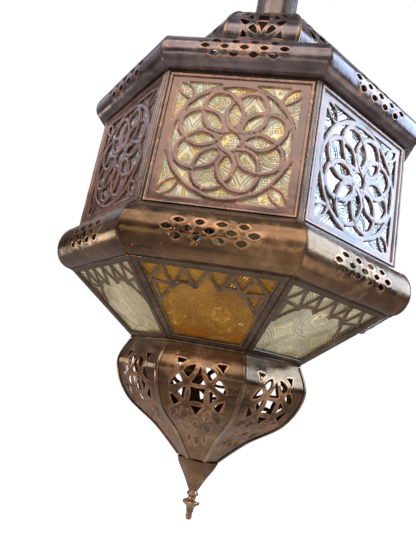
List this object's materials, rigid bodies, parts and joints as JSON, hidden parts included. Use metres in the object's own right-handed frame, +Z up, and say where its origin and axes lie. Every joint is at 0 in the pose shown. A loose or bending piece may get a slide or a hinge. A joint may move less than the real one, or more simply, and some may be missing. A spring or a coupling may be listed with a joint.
{
  "type": "hanging lantern",
  "caption": "Eight-sided hanging lantern of pierced copper and pressed glass on a rigid ceiling stem, with an onion dome, a bottom bulb and a hinged service door.",
  "frame": {"origin": "centre of the ceiling plate, on the flat top face that lies against the ceiling", "axes": "+Z up into the ceiling, along the lantern's axis; the front facet faces -Y and the service door faces +Y"},
  "size_m": [0.384, 0.384, 0.8179],
  "materials": {
    "aged_copper": "aged, brushed",
    "red_copper": "aged, dark red",
    "dark_frame": "dark patina",
    "bright_copper": "polished",
    "steel": "zinc plated",
    "brass": "satin",
    "amber_glass": "pressed",
    "clear_glass": "pressed",
    "lamp_glass": "smooth",
    "black_plastic": "moulded"
  },
  "bodies": {
    "body": {"ceiling_plate": "steel", "plate_screw_left": "steel", "plate_screw_right": "steel", "canopy": "aged_copper", "canopy_lock_ring": "bright_copper", "stem_tube": "dark_frame", "stem_cross_bolt": "steel", "neck_ring": "bright_copper", "dome": "aged_copper", "stem_flange": "steel", "rod_nut": "brass", "lamp_rod": "steel", "lampholder": "black_plastic", "lamp_cap": "brass", "lamp_bulb": "lamp_glass", "roof": "aged_copper", "upper_collar": "aged_copper", "cage_frame": "dark_frame", "cage_panel_0": "red_copper", "cage_glass_0": "clear_glass", "cage_panel_1": "red_copper", "cage_glass_1": "amber_glass", "cage_panel_2": "red_copper", "cage_glass_2": "clear_glass", "cage_panel_3": "red_copper", "cage_glass_3": "amber_glass", "cage_panel_5": "red_copper", "cage_glass_5": "amber_glass", "cage_panel_6": "red_copper", "cage_glass_6": "clear_glass", "cage_panel_7": "red_copper", "cage_glass_7": "amber_glass", "hinge_pin_0": "brass", "hinge_pin_1": "brass", "lower_collar": "aged_copper", "lower_crown": "dark_frame", "crown_glass_0": "amber_glass", "crown_glass_1": "clear_glass", "crown_glass_2": "amber_glass", "crown_glass_3": "clear_glass", "crown_glass_4": "amber_glass", "crown_glass_5": "clear_glass", "crown_glass_6": "amber_glass", "crown_glass_7": "clear_glass", "bottom_bulb": "aged_copper", "ferrule": "aged_copper", "finial": "bright_copper"},
    "door": {"door_frame": "dark_frame", "door_panel": "red_copper", "door_glass": "clear_glass", "latch_rivet": "brass"},
    "latch": {"latch_arm": "bright_copper"}
  },
  "joints": [
    {"name": "door_hinge", "type": "hinge", "parent": "body", "child": "door", "pos_m": [0.07071, 0.17924, -0.4531], "axis": [0, 0, -1], "range_deg": [0, 110]},
    {"name": "latch_pivot", "type": "hinge", "parent": "door", "child": "latch", "pos_m": [-0.06111, 0.17884, -0.4531], "axis": [0, 1, 0], "range_deg": [0, 90]}
  ]
}
